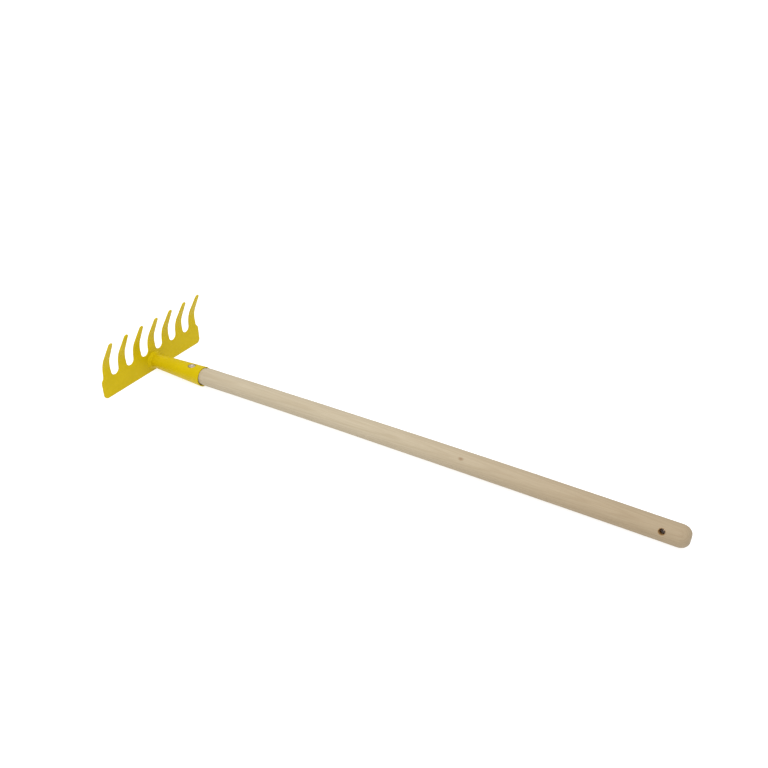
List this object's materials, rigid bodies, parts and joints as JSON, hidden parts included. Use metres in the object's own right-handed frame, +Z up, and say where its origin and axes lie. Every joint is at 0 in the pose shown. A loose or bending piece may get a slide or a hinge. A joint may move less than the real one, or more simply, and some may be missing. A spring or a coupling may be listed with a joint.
{
  "type": "garden rake",
  "caption": "Children's garden rake: a bent, toothed steel plate welded to a rolled socket, screwed to a round wooden handle.",
  "frame": {"origin": "bottom centre of the part's box, as it lies on the ground on the plate's lower edge and the handle's butt, teeth up", "axes": "+X along the handle from the toothed plate to the butt, +Y along the plate, +Z up towards the tooth tips"},
  "size_m": [0.6956, 0.177, 0.0795],
  "materials": {
    "yellow_coat": "thick glossy yellow powder coat with slight orange peel",
    "pale_wood": "unvarnished pale turned wood, fine straight grain, sanded",
    "zinc_screw": "zinc-plated steel, slightly dull"
  },
  "bodies": {
    "root": {"rake_plate": "yellow_coat", "handle_socket": "yellow_coat", "socket_weld": "yellow_coat", "wood_handle": "pale_wood", "socket_screw": "zinc_screw"}
  },
  "joints": []
}
